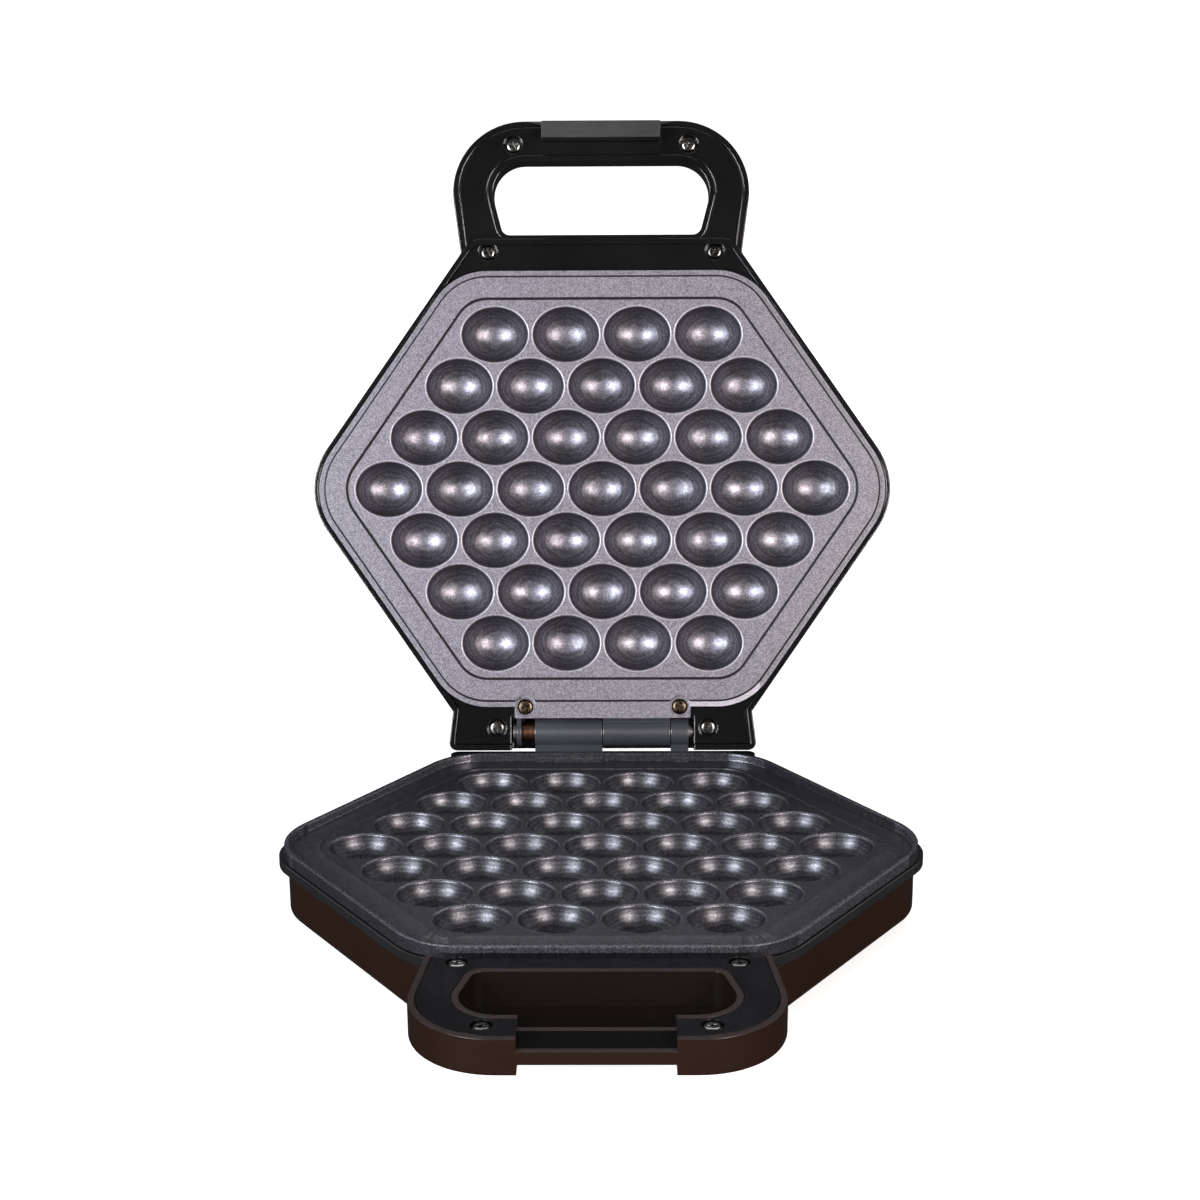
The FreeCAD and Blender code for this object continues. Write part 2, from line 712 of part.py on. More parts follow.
def make_cup_form(side):
    """The hollow of one cup as a faceted oval bowl that opens at the field and deepens from it."""
    length, width, depth = (number(name) for name in ("cup_half_length", "cup_half_width", "cup_depth"))
    rings = []
    for share in CUP_DEPTH_SHARES:
        scale = max(math.sqrt(1 - share * share), CUP_FLOOR_SHARE)
        across, along, level = length * scale, width * scale, side * depth * share
        turns = [2 * math.pi * (i + 1 / 2) / CUP_SIDES for i in range(CUP_SIDES)]
        rings.append([
            FreeCAD.Vector(across * math.cos(turn), along * math.sin(turn), level) for turn in turns
        ])
    faces = [Part.Face(Part.makePolygon(ring + ring[:1])) for ring in (rings[0], rings[-1])]
    for upper, lower in zip(rings, rings[1:]):
        for i in range(CUP_SIDES):
            j = (i + 1) % CUP_SIDES
            faces.append(Part.Face(Part.makePolygon([upper[i], upper[j], lower[j], lower[i], upper[i]])))
    cup = doc.addObject("Part::Feature", "lid_cup" if side == LID else "base_cup")
    cup.Shape = Part.makeSolid(Part.makeShell(faces))
    return cup


def cut_cups(casting, label, side, field):
    """The casting with a cup at each place of the lattice cut out of it."""
    cup = make_cup_form(side)
    places = []
    for row, count in enumerate(ROW_COUNTS):
        for column in range(count):
            place = doc.addObject("App::Link", f"{label}_cup_{row}_{column}")
            place.LinkedObject = cup
            bind(place, "LinkPlacement.Base.x", f"{column - (count - 1) / 2} * cell_pitch")
            bind(place, "LinkPlacement.Base.y", f"{row - (len(ROW_COUNTS) - 1) / 2} * row_pitch")
            bind(place, "LinkPlacement.Base.z", field)
            places.append(place)
    cups = doc.addObject("Part::Compound", f"{label}_cups")
    cups.Links = places
    plate = doc.addObject("Part::Cut", label)
    plate.Label = label
    plate.Base = casting
    plate.Tool = cups
    doc.recompute()
    return plate


def make_upper_plate():
    """Plate of the lid: ring, raised band, cupped field, hinge tab, ear and barrel."""
    body = new_body("upper_casting")
    pad(body, "ring", [hexagon("0")], "ring_gap", "ring_back")
    tab = rectangle("-tab_half_width", "tab_half_width", "corner_centre_y", "tab_reach")
    pad(body, "tab", [tab], "ring_gap", "ring_back")
    pad(body, "block", [hexagon("-block_inset")], "ring_gap", "upper_back")
    loft(body, "band", "Additive", hexagon("-ring_width"), "ring_gap",
         hexagon("-(ring_width + band_slope)"), "band_face")
    mouth = "field_inset - field_slope * (field_recess + overrun) / field_recess"
    loft(body, "field", "Subtractive", hexagon("-field_inset"), "upper_field",
         hexagon(f"-({mouth})"), "band_face - overrun")
    web = [
        ("flat_reach", "ring_gap", "0"),
        ("tab_reach", "ring_gap", "0"),
        ("hinge_back - barrel_radius / 2", "hinge_rise - barrel_radius / 2", "0"),
        ("hinge_back", "hinge_rise", "0"),
        ("hinge_back - barrel_radius + pin_fit", "hinge_rise", "0"),
        ("pocket_front + barrel_gap", "ring_back", "0"),
        ("flat_reach", "ring_back", "0"),
    ]
    barrel = circle("hinge_back", "hinge_rise", "barrel_radius")
    ear = "-(knuckle_reach - knuckle_width)"
    for name, start, end in (("barrel", "barrel_gap / 2", "barrel_reach"),
                             ("ear", "-knuckle_reach", ear)):
        pad(body, f"{name}_web", [web], start, end, "YZ_Plane")
        pad(body, name, [barrel], start, end, "YZ_Plane")
    bore = [circle("hinge_back", "hinge_rise", "pin_radius + pin_fit")]
    pocket(body, "bore", bore, "-(knuckle_reach + overrun)", "barrel_reach + overrun", "YZ_Plane")
    for name, radius, end in (("lug_notches", "lug_notch_radius", "ring_gap"),
                              ("lug_rings", "lug_radius", "ring_gap + lug_ring_depth"),
                              ("lug_recesses", "screw_head_radius + fit_gap",
                               "ring_gap + fit_gap + screw_head_height"),
                              ("lug_holes", "screw_shank_radius", "ring_back + overrun")):
        screw_holes(body, name, lug_places(radius), LID, "band_face - overrun", end)
    return cut_cups(body, "upper_plate", LID, "upper_field")


def make_lower_plate():
    """Plate of the base: lip, overflow channel, ridge, cupped field, hinge arms and ears."""
    body = new_body("lower_casting")
    pad(body, "lip", [hexagon("lip_margin")], "-lip_height", "0")
    pocket(body, "channel", [hexagon("lip_margin - lip_width")], "-channel_depth", "overrun")
    foot = hexagon("-(lip_width - lip_margin + channel_width)")
    ridge = hexagon("-(field_inset - ridge_width)")
    loft(body, "slope", "Additive", foot, "-channel_depth", ridge, "-ridge_depth")
    pocket(body, "field", [hexagon("-field_inset")], "-lower_field", "overrun")
    pad(body, "flange", [hexagon("-flange_inset")], "-flange_depth", "-lip_height")
    pad(body, "block", [hexagon("-block_inset")], "-lower_back", "-flange_depth")
    pad(body, "ear_roots", ear_strips("ear_radius"), "-flange_depth", "-(flange_depth - ear_thickness)")
    pad(body, "ears", ear_places("ear_radius"), "-flange_depth", "-(flange_depth - ear_thickness)")
    recesses = ear_places("screw_head_radius + fit_gap")
    screw_holes(body, "ear_recesses", recesses, BASE, "0", "flange_depth - ear_thickness + ear_recess")
    arm = rectangle("flat_reach - ring_width", "hinge_back + arm_rear", "-flange_depth", "-arm_top_depth")
    post = rectangle("hinge_back - arm_front", "hinge_back + arm_rear", "-flange_depth", "hinge_rise")
    barrel = circle("hinge_back", "hinge_rise", "barrel_radius")
    spans = (("barrel", "-barrel_reach", "-barrel_gap / 2"),
             ("knuckle", "barrel_reach + barrel_gap", "knuckle_reach"))
    for name, left, right in spans:
        pad(body, f"{name}_arm", [arm], left, right, "YZ_Plane")
        pad(body, f"{name}_post", [post], left, right, "YZ_Plane")
        pad(body, name, [barrel], left, right, "YZ_Plane")
    bore = [circle("hinge_back", "hinge_rise", "pin_radius + pin_fit")]
    pocket(body, "bore", bore, "-(barrel_reach + overrun)", "knuckle_reach + overrun", "YZ_Plane")
    screw_holes(body, "ear_holes", ear_places("screw_shank_radius"), BASE, "0", "flange_depth + overrun")
    return cut_cups(body, "lower_plate", BASE, "-lower_field")


# Hinge hardware

def make_hinge_pin():
    """Pin with a flat head, pushed in from the left."""
    body = new_body("hinge_pin")
    axis = ("hinge_back", "hinge_rise")
    seat = "knuckle_reach + barrel_gap"
    pad(body, "shaft", [circle(*axis, "pin_radius")],
        f"-({seat})", "clip_start + clip_width * 2", "YZ_Plane")
    pad(body, "head", [circle(*axis, "pin_head_radius")],
        f"-({seat} + pin_head_width)", f"-({seat})", "YZ_Plane")
    return body


def make_hinge_bush():
    """Copper bush between the lid's ear and the long barrel."""
    body = new_body("hinge_bush")
    axis = ("hinge_back", "hinge_rise")
    loops = [circle(*axis, "bush_radius"), circle(*axis, "pin_radius + pin_fit")]
    pad(body, "tube", loops,
        "-(knuckle_reach - knuckle_width - barrel_gap)", "-(barrel_reach + pin_fit)", "YZ_Plane")
    return body


def make_pin_clip():
    """Spring ring that keeps the pin in."""
    body = new_body("pin_clip")
    axis = ("hinge_back", "hinge_rise")
    loops = [circle(*axis, "pin_head_radius"), circle(*axis, "pin_radius")]
    pad(body, "ring", loops, "clip_start", "clip_start + clip_width", "YZ_Plane")
    return body


# Heating parts, sealed inside the halves

def make_heater(label, side, back):
    """Tubular heater bent to the hexagon, with a cold terminal at each end."""
    body = new_body(label)
    depth = f"({back} + heater_radius)"
    level = depth if side == LID else f"-{depth}"
    path = new_sketch(body, "path", [], level)
    reach_y = "(flat_reach - heater_inset)"
    sharp_x = f"(side_reach - heater_inset - {reach_y} * cos(side_angle)) / sin(side_angle)"
    vertex = "(side_reach - heater_inset) / sin(side_angle)"
    corners = [("terminal_offset", reach_y), (sharp_x, reach_y), (vertex, "0"), (sharp_x, f"-{reach_y}"),
               (f"-({sharp_x})", f"-{reach_y}"), (f"-({vertex})", "0"), (f"-({sharp_x})", reach_y),
               ("-terminal_offset", reach_y)]
    draw_bent_line(path, corners, "heater_bend")
    ring = new_sketch(body, "section", [circle(reach_y, level, "heater_radius")],
                      "terminal_offset", "YZ_Plane")
    tube = body.newObject("PartDesign::AdditivePipe", f"{label}_tube")
    tube.Profile = ring
    tube.Spine = path
    finish(body, tube)
    ends = f"{reach_y} - terminal_length"
    pins = pair("terminal_offset + heater_radius", level, "terminal_radius")
    pad(body, "terminals", pins, f"-{reach_y}", f"-({ends})", "XZ_Plane")
    return body


def draw_bent_line(sketch, corners, bend):
    """An open line through the corners, with an arc of one radius at each bend."""
    places = [FreeCAD.Vector(number(x), number(y), 0) for x, y in corners]
    radius = number(bend)
    items = []
    start = places[0]
    for before, corner, after in zip(places, places[1:], places[2:]):
        come = (corner - before).normalize()
        leave = (after - corner).normalize()
        turn = come.getAngle(leave)
        cut = radius * math.tan(turn / 2)
        inner = (leave - come).normalize()
        centre = corner + inner * (radius / math.cos(turn / 2))
        first = corner - come * cut
        last = corner + leave * cut
        middle = centre - inner * radius
        items.append(sketch.addGeometry(Part.LineSegment(start, first), False))
        items.append(sketch.addGeometry(Part.Arc(first, middle, last), False))
        start = last
    items.append(sketch.addGeometry(Part.LineSegment(start, places[-1]), False))
    for index, (one, two) in enumerate(zip(items, items[1:])):
        far_end = 2 if index % 2 == 0 else 1
        near_end = 2 if index % 2 == 0 else 1
        sketch.addConstraint(Sketcher.Constraint("Tangent", one, far_end, two, near_end))


def make_reflector(label, side, rim, back):
    """Sheet-steel pan that hangs from the frame round the casting's block."""
    body = new_body(label)
    outer = "-(block_inset - reflector_gap - reflector_sheet)"
    inner = "-(block_inset - reflector_gap)"
    low, high = span(side, rim, f"{rim} + reflector_sheet")
    pad(body, "flange", [hexagon(f"{outer} + reflector_flange")], low, high)
    low, high = span(side, rim, back)
    pad(body, "pan", [hexagon(outer)], low, high)
    low, high = span(side, f"{rim} - overrun", f"{back} - reflector_sheet")
    pocket(body, "hollow", [hexagon(inner)], low, high)
    return body


def make_thermostat(label, side, back):
    """Snap disc that holds the plate's temperature."""
    body = new_body(label)
    low, high = span(side, back, f"{back} + thermostat_height")
    pad(body, "case", [circle("thermostat_offset", "0", "thermostat_radius")], low, high)
    low, high = span(side, back, f"{back} + thermostat_height - reflector_sheet")
    reach = "thermostat_radius * 3 / 2"
    blades = rectangle(f"thermostat_offset - {reach}", f"thermostat_offset + {reach}",
                       "-terminal_radius", "terminal_radius")
    pad(body, "blades", [blades], low, high)
    return body


def make_thermal_fuse():
    """One-shot fuse in its sleeve, laid along the back of the plate."""
    body = new_body("thermal_fuse")
    pad(body, "sleeve", [circle("0", "-(lower_back + fuse_radius)", "fuse_radius")],
        "fuse_offset - fuse_length / 2", "fuse_offset + fuse_length / 2", "XZ_Plane")
    return body


# Power inlet, terminal block and lamps

def make_inlet_gland():
    """Round gland in the rear wall, where the power comes in."""
    body = new_body("inlet_gland")
    centre = ("0", "-gland_depth")
    inner_end = "-(base_rear_reach - shell_wall - gland_inner)"
    pad(body, "neck", [circle(*centre, "gland_radius")], "-base_rear_reach", inner_end, "XZ_Plane")
    pad(body, "collar", [circle(*centre, "gland_collar_radius")],
        "-(base_rear_reach + gland_collar)", "-base_rear_reach", "XZ_Plane")
    pocket(body, "bore", [circle(*centre, "gland_bore")],
           "-(base_rear_reach + gland_collar + overrun)", f"{inner_end} + overrun", "XZ_Plane")
    return body


def make_terminal_block():
    """Three-way block that joins the power leads, on the floor of the base."""
    body = new_body("terminal_block")
    rear = "(base_rear_reach - shell_wall - gland_inner - fit_gap)"
    floor = "-(shell_depth - shell_wall)"
    outline = rectangle("-block_half_width", "block_half_width", f"{rear} - block_length", rear)
    pad(body, "block", [outline], floor, f"{floor} + block_height")
    middle = f"{rear} - block_length / 2"
    ways = [circle(f"{way} * block_pitch", middle, "screw_shank_radius") for way in (-1, 0, 1)]
    pocket(body, "ways", ways, f"{floor} + block_height / 2", f"{floor} + block_height + overrun")
    return body


def make_lamp(label, x):
    """Lens of one indicator lamp in the top of the lid."""
    body = new_body(label)
    inner = "shell_depth - shell_wall"
    pad(body, "stem", [circle(x, "-lamp_reach", "lamp_radius")], inner, "shell_depth + lamp_proud")
    pad(body, "collar", [circle(x, "-lamp_reach", "lamp_collar_radius - fit_gap")],
        f"{inner} - reflector_sheet", inner)
    pad(body, "body", [circle(x, "-lamp_reach", "lamp_radius - fit_gap")],
        f"{inner} - lamp_body_length", f"{inner} - reflector_sheet")
    return body


def make_lamp_board():
    """Strip that carries the lamps inside the lid."""
    body = new_body("lamp_board")
    top = "shell_depth - shell_wall - lamp_body_length"
    outline = rectangle("-lamp_board_half_length", "lamp_board_half_length",
                        "-(lamp_reach + lamp_board_half_width)", "-(lamp_reach - lamp_board_half_width)")
    pad(body, "strip", [outline], f"{top} - lamp_board_thickness", top)
    return body


# Feet

def make_feet():
    """Four soft feet, each with a plug that holds it in the floor of the base."""
    body = new_body("rubber_feet", groups=True)
    low = "-(shell_depth + foot_height)"
    pad(body, "pads", foot_places("foot_radius"), low, "-shell_depth")
    round_level(body, "pad_edges", low, "foot_edge_radius")
    pad(body, "plugs", foot_places("foot_plug_radius"), "-shell_depth", "-(shell_depth - shell_wall)")
    return body


BASE_PIECES = [
    make_base_shell(),
    make_base_frame(),
    make_lower_plate(),
    make_hinge_pin(),
    make_hinge_bush(),
    make_pin_clip(),
    make_screws("base_handle_screws", handle_places, BASE, "face_depth + recess_depth - screw_head_height"),
    make_screws("plate_ear_screws", ear_places, BASE,
                "flange_depth - ear_thickness + ear_recess - screw_head_height"),
    make_bottom_screws(),
    make_heater("lower_heater", BASE, "lower_back"),
    make_reflector("lower_reflector", BASE, "base_rim_depth", "reflector_depth"),
    make_thermostat("thermostat", BASE, "lower_back"),
    make_thermal_fuse(),
    make_inlet_gland(),
    make_terminal_block(),
    make_feet(),
]

LID_PIECES = [
    make_lid_shell(),
    make_lid_frame(),
    make_upper_plate(),
    make_screws("lid_handle_screws", handle_places, LID, "face_depth + recess_depth - screw_head_height"),
    make_screws("lid_rear_screws", rear_places, LID, "face_depth + recess_depth - screw_head_height"),
    make_screws("lid_lug_screws", lug_places, LID, "ring_gap + fit_gap"),
    make_heater("upper_heater", LID, "upper_back"),
    make_reflector("upper_reflector", LID, "face_depth + frame_thickness", "reflector_depth"),
    make_thermostat("lid_thermostat", LID, "upper_back"),
    make_lamp("power_lamp", "-lamp_offset"),
    make_lamp("ready_lamp", "lamp_offset"),
    make_lamp_board(),
]

for piece in BASE_PIECES:
    bind(piece, "Placement.Base.y", "middle")
    bind(piece, "Placement.Base.z", "contact_height")
for piece in LID_PIECES:
    bind(piece, "Placement", "placement(vector(0; middle; contact_height);"
         " rotation(vector(1; 0; 0); -open_angle); vector(0; hinge_back; hinge_rise))")
doc.recompute()

# Nothing is written unless every object is sound
for item in doc.Objects:
    if {"Invalid", "Error"} & set(item.State):
        raise RuntimeError(f"{item.Name} failed: {item.State}")
for piece in BASE_PIECES + LID_PIECES:
    if piece.Shape.isNull() or not piece.Shape.isValid():
        raise RuntimeError(f"{piece.Label} has no valid shape")

os.makedirs("parts", exist_ok=True)
for piece in BASE_PIECES + LID_PIECES:
    piece.Shape.exportStep(os.path.join("parts", piece.Label + ".step"))
    print(f"{piece.Label}: {len(piece.Shape.Solids)} solids, {piece.Shape.Volume:.0f} cubic millimetres")
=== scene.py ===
import json
import math

import bmesh
import bpy
from mathutils import Matrix, Vector
from mathutils.geometry import delaunay_2d_cdt


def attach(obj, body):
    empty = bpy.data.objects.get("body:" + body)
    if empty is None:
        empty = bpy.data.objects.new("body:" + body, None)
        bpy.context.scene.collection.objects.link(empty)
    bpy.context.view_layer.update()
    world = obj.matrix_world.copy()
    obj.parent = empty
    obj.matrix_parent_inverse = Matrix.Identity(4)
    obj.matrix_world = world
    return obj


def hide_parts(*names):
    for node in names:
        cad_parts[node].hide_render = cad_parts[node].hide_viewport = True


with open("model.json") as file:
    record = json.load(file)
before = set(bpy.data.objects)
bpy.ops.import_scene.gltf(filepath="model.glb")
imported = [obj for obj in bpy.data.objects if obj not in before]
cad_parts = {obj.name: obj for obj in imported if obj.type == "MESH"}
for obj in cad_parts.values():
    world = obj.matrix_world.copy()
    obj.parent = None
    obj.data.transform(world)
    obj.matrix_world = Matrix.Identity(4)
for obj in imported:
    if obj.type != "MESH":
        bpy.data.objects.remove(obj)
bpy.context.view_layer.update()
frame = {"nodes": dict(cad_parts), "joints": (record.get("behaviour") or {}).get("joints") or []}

# Places in the model are in millimetres of the plate frame: its origin is the middle of the
# closed plates, Y runs back to the hinge and Z is up from the plane where the plates meet.
MM = 0.001
HINGE = Vector((0.0, 103.0, 5.5))
OPEN_ANGLE = math.radians(106.7)

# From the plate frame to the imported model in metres, for each body at rest
HINGE_IN_ROW = Vector(frame["joints"][0]["pos_m"])
BASE_TO_ROW = Matrix.Translation(HINGE_IN_ROW) @ Matrix.Scale(MM, 4) @ Matrix.Translation(-HINGE)
LID_TO_ROW = (Matrix.Translation(HINGE_IN_ROW) @ Matrix.Scale(MM, 4)
              @ Matrix.Rotation(-OPEN_ANGLE, 4, "X") @ Matrix.Translation(-HINGE))
TO_ROW = {"base": BASE_TO_ROW, "lid": LID_TO_ROW}
LID_CUP_AXIS = (0.0, math.sin(OPEN_ANGLE), math.cos(OPEN_ANGLE))
BASE_CUP_AXIS = (0.0, 0.0, 1.0)

# The cups' lattice, half axes, depth and rolled lip, and how finely they are drawn
CELL_PITCH = 30.0
ROW_PITCH = 21.7
ROW_COUNTS = (4, 5, 6, 7, 6, 5, 4)
CUP_SEMI = (13.8, 11.45)
CUP_DEPTH = 10.5
CUP_LIP = 0.8
CUP_SEGMENTS = 56
LIP_STEPS = 4
WALL_STEPS = 12

# The field that the cups lie in: its level in each plate, and how far the faceted cups reach
# towards the back and front and along the normal of the hexagon's slanting sides
UPPER_FIELD = -0.6
LOWER_FIELD = -2.6
FIELD_HALF_DEPTH = 80.0
FIELD_SIDE_NORMAL = (0.8226, 0.5686)
FIELD_SIDE_REACH = 91.0

# Where the coats of the plates change, and where the plates get a painted highlight (cup lips, upper ring,
# lower lip) or painted shade (upper groove)
ON_FLAT, ON_CUP, ON_BARREL, ON_LIP_HIGHLIGHT, ON_GROOVE_SHADE = range(5)
BARREL_HALF_WIDTH = 38.0
UPPER_BARREL_START = 96.7
LOWER_BARREL_START = 93.4
PLATE_BACK = 90.5
UPPER_GROOVE_BOTTOM = -1.55
UPPER_RING_START = 0.25
UPPER_RING_TOP = 0.35
LOWER_LIP_START = -1.8

# Where the looks of the housings change, and how upright a normal makes a level face
LEVEL = 0.5
TONGUE_HALF_WIDTH = 24.95
TONGUE_START = -146.95
TONGUE_TOP = 14.15
BEZEL_START = -103.0
BEZEL_TOP = -4.5
RECESS_HALF_WIDTH = 33.0
RECESS_BACK = -136.0
RECESS_TOP = -5.0
FINGER_HOLE_HALF_WIDTH = 48.0
FINGER_HOLE_FRONT = -141.0
FINGER_HOLE_BACK = -105.5

# Pan-head screws: radius and height of the head above its underside, the cross recess, and the
# turn of the cross in radians
SCREW_SEGMENTS = 32
SHANK_RADIUS = 1.4
HEAD_PROFILE = ((3.2, 0.0), (3.2, 0.55), (3.05, 0.95), (2.65, 1.22), (2.1, 1.36))
HEAD_TOP = 1.4
CROSS_REACH = 1.75
CROSS_HALF_WIDTH = 0.36
CROSS_FLOOR = 0.55
CROSS_TAPER = 0.62
FIRST_TURN = 0.35
NEXT_TURN = 0.8


# Materials

COOL = (1.0, 1.0, 1.1)
WARM = (1.0, 0.97, 0.93)


class Nodes:
    """A material's node tree, built step by step in object coordinates, which are metres."""

    def __init__(self, name):
        self.material = bpy.data.materials.new(name)
        self.material.use_nodes = True
        self.tree = self.material.node_tree
        self.shader = self.tree.nodes["Principled BSDF"]
        self.place = self.add("ShaderNodeTexCoord").outputs["Object"]

    def add(self, kind, **settings):
        node = self.tree.nodes.new(kind)
        for name, value in settings.items():
            setattr(node, name, value)
        return node

    def link(self, output, socket):
        self.tree.links.new(output, socket)

    def feed(self, socket, value):
        if isinstance(value, bpy.types.NodeSocket):
            self.link(value, socket)
        else:
            socket.default_value = value

    def combine(self, operation, *values):
        node = self.add("ShaderNodeMath", operation=operation)
        for socket, value in zip(node.inputs, values):
            self.feed(socket, value)
        return node.outputs[0]

    def noise(self, scale, detail=3.0, roughness=0.55, stretch=None):
        node = self.add("ShaderNodeTexNoise")
        node.inputs["Scale"].default_value = scale
        node.inputs["Detail"].default_value = detail
        node.inputs["Roughness"].default_value = roughness
        place = self.place
        if stretch:
            mapping = self.add("ShaderNodeMapping")
            mapping.inputs["Scale"].default_value = stretch
            self.link(place, mapping.inputs["Vector"])
            place = mapping.outputs["Vector"]
        self.link(place, node.inputs["Vector"])
        return node.outputs["Fac"]

    def flakes(self, scale):
        """A random level for each small cell."""
        node = self.add("ShaderNodeTexVoronoi")
        node.inputs["Scale"].default_value = scale
        self.link(self.place, node.inputs["Vector"])
        separate = self.add("ShaderNodeSeparateColor")
        self.link(node.outputs["Color"], separate.inputs["Color"])
        return separate.outputs[0]

    def spread(self, value, low, high, start=0.3, end=0.7):
        """A value between start and end, brought to between low and high."""
        node = self.add("ShaderNodeMapRange")
        node.inputs["From Min"].default_value = start
        node.inputs["From Max"].default_value = end
        node.inputs["To Min"].default_value = low
        node.inputs["To Max"].default_value = high
        self.link(value, node.inputs["Value"])
        return node.outputs["Result"]

    def ramp(self, value, stops):
        node = self.add("ShaderNodeValToRGB")
        while len(node.color_ramp.elements) < len(stops):
            node.color_ramp.elements.new(0.5)
        for element, (position, colour) in zip(node.color_ramp.elements, stops):
            element.position = position
            element.color = (*colour, 1.0)
        self.link(value, node.inputs["Fac"])
        return node.outputs["Color"]

    def bump(self, height, distance, after=None):
        node = self.add("ShaderNodeBump")
        node.inputs["Distance"].default_value = distance
        node.inputs["Strength"].default_value = 1.0
        self.link(height, node.inputs["Height"])
        if after:
            self.link(after, node.inputs["Normal"])
        return node.outputs["Normal"]

    def rounded(self, radius):
        """Normals turned near sharp edges, within a radius in millimetres, to catch the light."""
        node = self.add("ShaderNodeBevel", samples=6)
        node.inputs["Radius"].default_value = radius * MM
        return node.outputs["Normal"]

    def set(self, **values):
        for name, value in values.items():
            self.feed(self.shader.inputs[name.replace("_", " ")], value)
        return self.material


def grey(level, tint=(1.0, 1.0, 1.0)):
    return tuple(level * part for part in tint)


def plastic(name, dark, light, roughness, grain=0.0, specular=0.5, wear=0.1, edge=0.5):
    """Moulded plastic: faint mottling, uneven gloss and fine scuffs."""
    nodes = Nodes(name)
    cloud = nodes.noise(22.0, 4.0)
    scuffs = nodes.noise(90.0, 6.0, 0.7, (1.0, 7.0, 7.0))
    normal = nodes.rounded(edge)
    if grain:
        normal = nodes.bump(nodes.noise(1500.0, 2.0), grain, after=normal)
    return nodes.set(
        Base_Color=nodes.ramp(cloud, ((0.3, dark), (0.75, light))),
        Roughness=nodes.spread(scuffs, roughness * (1.0 - wear), roughness * (1.0 + wear)),
        Specular_IOR_Level=specular,
        Normal=normal,
    )


def nonstick(name, dark, middle, light, roughness, metallic, edge=0.0):
    """Non-stick coat with fine metal flakes."""
    nodes = Nodes(name)
    speckle = nodes.flakes(2600.0)
    fine = nodes.noise(3600.0, 2.0)
    mix = nodes.combine("ADD", nodes.spread(speckle, 0.0, 0.6, 0.0, 1.0), nodes.spread(fine, 0.0, 0.4))
    return nodes.set(
        Base_Color=nodes.ramp(mix, ((0.1, dark), (0.5, middle), (0.95, light))),
        Metallic=metallic,
        Roughness=nodes.spread(speckle, roughness * 0.85, roughness * 1.2, 0.0, 1.0),
        Normal=nodes.bump(fine, 0.00004, after=nodes.rounded(edge) if edge else None),
    )


def turned(name, dark, middle, light, roughness, metallic, axis):
    """Non-stick coat of the cups, with the faint rings round their axis that turning left."""
    nodes = Nodes(name)
    speckle = nodes.flakes(2200.0)
    cloud = nodes.noise(160.0, 3.0)
    level = nodes.add("ShaderNodeVectorMath", operation="DOT_PRODUCT")
    nodes.link(nodes.place, level.inputs[0])
    level.inputs[1].default_value = axis
    drift = nodes.combine("MULTIPLY_ADD", cloud, 0.003, level.outputs["Value"])
    wave = nodes.combine("SINE", nodes.combine("MULTIPLY", drift, 4200.0))
    mix = nodes.combine("ADD", nodes.spread(speckle, 0.0, 0.65, 0.0, 1.0),
                        nodes.spread(wave, 0.0, 0.35, -1.0, 1.0))
    return nodes.set(
        Base_Color=nodes.ramp(mix, ((0.1, dark), (0.5, middle), (0.95, light))),
        Metallic=metallic,
        Roughness=nodes.spread(cloud, roughness * 0.85, roughness * 1.15),
        Normal=nodes.bump(nodes.spread(wave, 0.0, 1.0, -1.0, 1.0), 0.000004),
    )


def metal(name, dark, light, roughness, stretch=(1.0, 1.0, 1.0)):
    """Worked metal with drawn or turned lines and faint stains."""
    nodes = Nodes(name)
    lines = nodes.noise(300.0, 5.0, 0.6, stretch)
    stains = nodes.noise(60.0, 3.0)
    return nodes.set(
        Base_Color=nodes.ramp(stains, ((0.3, dark), (0.7, light))),
        Metallic=1.0,
        Roughness=nodes.spread(lines, roughness * 0.7, roughness * 1.3),
        Normal=nodes.bump(lines, 0.00001),
    )


def rubber(name, dark, light):
    """Dull rubber with a little dust."""
    nodes = Nodes(name)
    dust = nodes.noise(180.0, 6.0, 0.7)
    return nodes.set(
        Base_Color=nodes.ramp(dust, ((0.4, dark), (0.8, light))),
        Roughness=nodes.spread(dust, 0.6, 0.85),
        Normal=nodes.bump(dust, 0.00004),
    )


def lens(name, colour):
    """Clear coloured plastic, a little uneven."""
    nodes = Nodes(name)
    ribs = nodes.noise(700.0, 2.0)
    return nodes.set(
        Base_Color=nodes.ramp(ribs, ((0.3, colour), (0.8, tuple(c * 1.4 for c in colour)))),
        Roughness=0.3,
        Specular_IOR_Level=0.2,
        Transmission_Weight=0.35,
        Normal=nodes.bump(ribs, 0.00002),
    )


def woven(name, dark, light):
    """A sleeve of glass threads."""
    nodes = Nodes(name)
    wave = nodes.add("ShaderNodeTexWave")
    wave.inputs["Scale"].default_value = 700.0
    wave.inputs["Distortion"].default_value = 2.0
    nodes.link(nodes.place, wave.inputs["Vector"])
    threads = wave.outputs["Fac"]
    return nodes.set(
        Base_Color=nodes.ramp(threads, ((0.2, dark), (0.8, light))),
        Roughness=0.8,
        Normal=nodes.bump(threads, 0.0001),
    )


